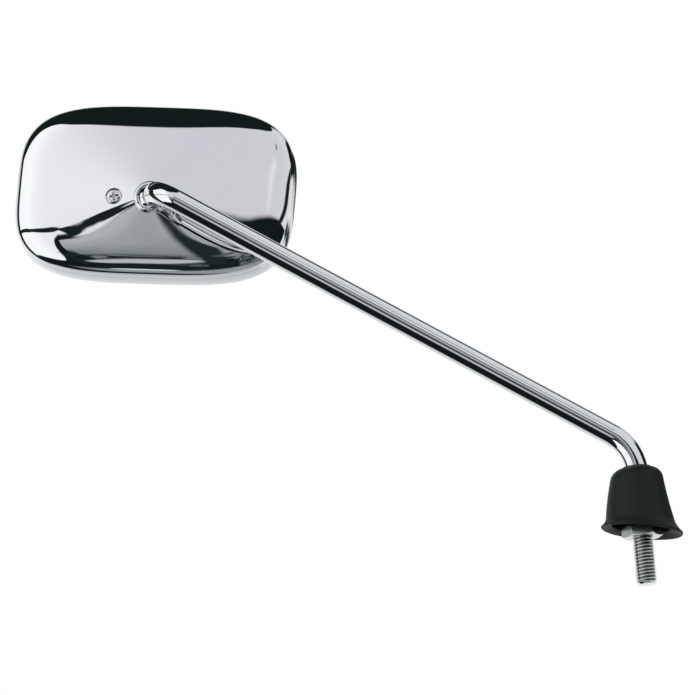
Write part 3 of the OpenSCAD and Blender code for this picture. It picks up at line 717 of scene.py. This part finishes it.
# the screw's boss at one side of the socket, and the heel that the clamp plate rests on at the other
for x, radius, foot in ((-SCREW_X, RECESS_R + BOSS_WALL, -SOCKET_DEPTH),
                        (HEEL_X, HEEL_R, -SOCKET_DEPTH - HEEL_REACH)):
    top = dome_height((abs(x) + radius) / (HEAD_W / 2)) - SUNK
    boss = [(AXIS_GAP, foot), (radius, foot), (radius, top), (AXIS_GAP, top)]
    head_mesh = combined(head_mesh, turned_solid("boss", boss, 48, x), "UNION")
# the seat is a ball's zone, open to the cup below and to the neck's throat above
throat_z = sqrt(seat_r ** 2 - THROAT_R ** 2)
seat = [(AXIS_GAP, cut_foot), (CUP_SPACE_R, cut_foot), (CUP_SPACE_R, SEAT_FOOT_Z)]
for i in range(SEAT_STEPS + 1):
    z = SEAT_FOOT_Z + (throat_z - SEAT_FOOT_Z) * i / SEAT_STEPS
    seat.append((sqrt(seat_r ** 2 - z ** 2), z))
seat += [(THROAT_R, throat_z + 0.3), (THROAT_R + THROAT_CHAMFER, lip_top + 0.02),
         (THROAT_R + THROAT_CHAMFER, cut_top), (AXIS_GAP, cut_top)]
head_mesh = combined(head_mesh, turned_solid("seat", seat), "DIFFERENCE")
recess_z = dome_height(SCREW_X / (HEAD_W / 2)) - RECESS_DEPTH
recess = [(AXIS_GAP, cut_foot), (SCREW_HOLE_R, cut_foot), (SCREW_HOLE_R, recess_z),
          (RECESS_R, recess_z), (RECESS_R, cut_top), (AXIS_GAP, cut_top)]
head_mesh = combined(head_mesh, turned_solid("recess", recess, 64, -SCREW_X), "DIFFERENCE")


def skin_share(x, y):
    """The share of the outline at which each point lies, found by halving between two far ones."""
    low, high = np.full(len(x), 0.02), np.full(len(x), 1.3)
    for _ in range(40):
        share = (low + high) / 2
        power = MIDDLE_N + (OUTLINE_N - MIDDLE_N) * np.minimum(share, 1)
        reach = (np.abs(x / share / (HEAD_W / 2)) ** power
                 + np.abs((y / share - BALL_DROP) / (HEAD_H / 2)) ** power)
        low, high = np.where(reach > 1, share, low), np.where(reach > 1, high, share)
    return (low + high) / 2


def skin_height(x, y):
    """Height of the dome's skin over each point, by the formula of its rings."""
    share = np.clip(skin_share(x, y), 0, 0.99999)
    power = MIDDLE_N + (OUTLINE_N - MIDDLE_N) * share
    side = np.minimum(np.abs(x / share / (HEAD_W / 2)) ** power, 1)
    return (seam_z + CONE_RISE * (1 - share)
            + SHOULDER_RISE * np.sqrt(1 - share ** (SHOULDER_POWER + SIDE_POWER * side)))


def set_true_normals(mesh, skin_to=0.97, step=0.02):
    """Gives the dome's skin, up to a share of its outline, the exact normals of its formula, so that
    it mirrors without ripples. Its slopes are taken over a step in millimetres."""
    smooth(mesh, 32)
    to_own = head_turn.transposed()
    x, y, z = np.array([to_own @ (vertex.co / mm - ball_at) for vertex in mesh.vertices]).T
    corner_normals = np.array([list(corner.vector) for corner in mesh.corner_normals])
    vertex_of = np.array([loop.vertex_index for loop in mesh.loops])
    face_of = np.repeat(np.arange(len(mesh.polygons)), [face.loop_total for face in mesh.polygons])
    face_normals = np.array([list(to_own @ face.normal) for face in mesh.polygons])
    slope_x = (skin_height(x + step, y) - skin_height(x - step, y)) / (2 * step)
    slope_y = (skin_height(x, y + step) - skin_height(x, y - step)) / (2 * step)
    normals = np.stack([-slope_x, -slope_y, np.ones(len(x))], 1)
    normals /= np.linalg.norm(normals, axis=1)[:, None]
    on_skin = (np.abs(skin_height(x, y) - z) < 0.03) & (skin_share(x, y) < skin_to)
    facing = (face_normals[face_of] * normals[vertex_of]).sum(1) > 0.9
    use = on_skin[vertex_of] & facing
    corner_normals[use] = normals[vertex_of[use]] @ np.array(head_turn).T
    mesh.normals_split_custom_set([tuple(normal) for normal in corner_normals])


def plated_plastic(name, tint, roughness, wave_mm, wave_depth_mm):
    """Chromium on moulded plastic: a mirror with a slow waver in it, from the plastic's sinking."""
    material = finish(name, tint, 1, roughness, 14)
    tree = material.node_tree
    wave = add_node(tree, "ShaderNodeTexNoise",
                    {"Vector": tree.nodes["Mapping"].outputs[0], "Scale": 1 / wave_mm, "Detail": 1})
    bump = add_node(tree, "ShaderNodeBump",
                    {"Height": wave.outputs["Fac"], "Strength": 1, "Distance": wave_depth_mm * mm})
    tree.links.new(bump.outputs[0], tree.nodes["Principled BSDF"].inputs["Normal"])
    return material


set_true_normals(head_mesh)
chrome_plastic = plated_plastic("chromium_plated_abs", "#f1f2f4", (0.0, 0.02), 9, 0.005)
place("head_back", head_mesh, [chrome_plastic], "head", "head_shell")


# The bezel: a rim moulded in ABS and plated, pushed onto the back at the seam and turned in
# round the glass. A fine groove is left between it and the back.
BEZEL_DEPTH = 10
SEAM_GAP = 0.4
BEZEL_WALL = 1.6
BEZEL_LIP = 3
BEZEL_LIP_T = 1.2
BEZEL_ROUND = 1.1
TONGUE_FOOT = 2.2
TONGUE_OUTSIDE = 2.65
TONGUE_INSIDE = 3.7
TONGUE_RISE = 1.2
BEZEL_SIDES = 216
front_z = seam_z - BEZEL_DEPTH
channel_z = front_z + BEZEL_LIP_T
groove_z = seam_z - SEAM_GAP
# as (inset, height): the edge at the groove, the outer wall, the lip, and the tongue in the back
bezel_section = [(0.35, groove_z), (0.12, groove_z - 0.1), (0, groove_z - 0.35), (0, front_z + BEZEL_ROUND)]
bezel_section += arc(BEZEL_ROUND, front_z + BEZEL_ROUND, BEZEL_ROUND, 180, 270, 8)
bezel_section += [(BEZEL_LIP - 0.4, front_z), (BEZEL_LIP - 0.1, front_z + 0.12), (BEZEL_LIP, front_z + 0.4),
                  (BEZEL_LIP, channel_z), (BEZEL_WALL, channel_z), (BEZEL_WALL, seam_z - TONGUE_INSIDE),
                  (TONGUE_INSIDE, groove_z), (TONGUE_INSIDE, seam_z + TONGUE_RISE),
                  (TONGUE_OUTSIDE, seam_z + TONGUE_RISE), (TONGUE_FOOT, groove_z)]
bezel_rings = [[to_head((x, y, z)) for x, y in outline(1, OUTLINE_N, inset, BEZEL_SIDES)]
               for inset, z in bezel_section]
bezel_mesh = mesh_from_rings("bezel_rim", bezel_rings, loop=True)
smooth(bezel_mesh, 30)
# a satin ground under the chromium blurs what the rim mirrors into pale bands
bezel_chrome = plated_plastic("satin_chromium_plated_abs", "#ecedee", (0.1, 0.16), 12, 0.02)
place("bezel_rim", bezel_mesh, [bezel_chrome], "head", "bezel")


# The glass: a convex plate, silvered on its back, held in a rubber channel inside the bezel with
# a foam pad behind it that keeps it from rattling.
GLASS_R = 1200
GLASS_T = 2
GLASS_EDGE_GAP = 0.2
GASKET_WALL = 0.8
glass_inset = BEZEL_WALL + GASKET_WALL + GLASS_EDGE_GAP
glass_front = channel_z + GASKET_WALL


def bowed_rings(height, shares, sides):
    """Rings of one face of the glass, bowed as a part of a large ball."""
    half_width = HEAD_W / 2 - glass_inset
    edge = outline(1, OUTLINE_N, glass_inset, sides)
    rings = []
    for share in shares:
        bow = half_width ** 2 * (1 - share ** 2) / (2 * GLASS_R)
        rings.append([to_head((share * x, share * (y - BALL_DROP) + BALL_DROP, height - bow))
                      for x, y in edge])
    return rings


shares = [i / 12 for i in range(12, 0, -1)] + [0.01]
glass_mesh = mesh_from_rings("convex_glass", bowed_rings(glass_front, shares[::-1], BEZEL_SIDES)
                             + bowed_rings(glass_front + GLASS_T, shares, BEZEL_SIDES))
smooth(glass_mesh, 30)
# the silver mirrors all but cleanly, and the bare face of the glass adds a weak gloss of its own
mirror = finish("silvered_float_glass", "#eef3f2", 1, (0.0, 0.006), 20)
mirror.node_tree.nodes["Principled BSDF"].inputs["Coat Weight"].default_value = 0.6
place("convex_glass", glass_mesh, [mirror], "head", "mirror_glass")

# extruded rubber has an even dull skin, and cut foam scatters all light in its cells
gasket_rubber = finish("extruded_black_rubber", "#17191a", 0, (0.45, 0.6), 0.5, 0.006)
dress("glass_gasket", gasket_rubber)
foam = finish("closed_cell_foam", "#4c5052", 0, (0.8, 0.95), 0.7, 0.15)
dress("glass_pad", foam)


# The joint's inner pieces: a nylon cup behind the ball, a dished washer of spring steel, and a
# pressed plate that the clamp screw pulls up. The photograph doesn't show them.

# moulded nylon is waxy and cream white
nylon = finish("moulded_nylon", "#e6e1d2", 0, (0.35, 0.5), 1.5, 0.004)
dress("pressure_cup", nylon)
# hardened and oiled, spring steel stays dark grey with a soft shine
spring_steel = finish("oiled_spring_steel", "#6a6c6e", 1, (0.25, 0.4), 0.6, 0.003, (1, 0.1, 1))
dress("friction_washer", spring_steel)
dress("spring_washer", spring_steel)
# the zinc on rolled sheet is a little yellower and duller than on turned steel
plate_zinc = finish("zinc_plated_pressed_steel", "#cfcfc4", 1, (0.22, 0.38), 1.2, 0.004)
dress("clamp_plate", plate_zinc)
dress("clamp_nut", zinc)


# The clamp screw: a pan-head screw with a cross recess, zinc plated, sunk in its round recess.
# The cross is a tapered star, pressed into the head when the blank is cold headed.
SCREW_R = 2.0
SCREW_POINT = 0.5
SCREW_HEAD_R = 3.6
SCREW_HEAD_H = 2.4
SCREW_CROWN = 0.25
SCREW_HEAD_ROUND = 0.9
SCREW_TIP = -12.2
CROSS_REACH = 2.3
CROSS_WING = 0.55
CROSS_DEPTH = 1.7
CROSS_TURN = 12
SCREW_SIDES = 64
head_top = recess_z + SCREW_HEAD_H
screw_section = [(AXIS_GAP, SCREW_TIP), (SCREW_R - SCREW_POINT, SCREW_TIP), (SCREW_R, SCREW_TIP + 0.6),
                 (SCREW_R, recess_z), (SCREW_HEAD_R, recess_z)]
screw_section += arc(SCREW_HEAD_R - SCREW_HEAD_ROUND, head_top - SCREW_CROWN - SCREW_HEAD_ROUND,
                     SCREW_HEAD_ROUND, 0, 62, 10)
crown_r, crown_z = screw_section[-1]
screw_section += [(crown_r * cos(pi / 2 * i / 8), crown_z + (head_top - crown_z) * sin(pi / 2 * i / 8))
                  for i in range(1, 8)]
screw_section.append((AXIS_GAP, head_top))
screw_mesh = turned_solid("cross_screw", screw_section, SCREW_SIDES, -SCREW_X)
# the cross is two slots: each from point to mouth, as (height, half length, half width)
cross_slot = [(head_top - CROSS_DEPTH, 0.9, 0.3), (head_top - 0.5, CROSS_REACH - 0.5, CROSS_WING - 0.12),
              (head_top + 0.6, CROSS_REACH + 0.2, CROSS_WING + 0.1)]
for turn in (radians(CROSS_TURN), radians(CROSS_TURN + 90)):
    rings = []
    for z, reach, wing in cross_slot:
        corners = [(-reach, -wing), (reach, -wing), (reach, wing), (-reach, wing)]
        rings.append([to_head((-SCREW_X + x * cos(turn) - y * sin(turn), x * sin(turn) + y * cos(turn), z))
                      for x, y in corners])
    screw_mesh = combined(screw_mesh, mesh_from_rings("cross_slot", rings), "DIFFERENCE")
smooth(screw_mesh, 35)
# cold heading leaves the head smooth, so its zinc is nearly a mirror
screw_zinc = finish("bright_zinc_plated_cold_headed_steel", "#e4e5e2", 1, (0.05, 0.14), 0.7, 0.002)
place("cross_screw", screw_mesh, [screw_zinc], "screw", "clamp_screw")
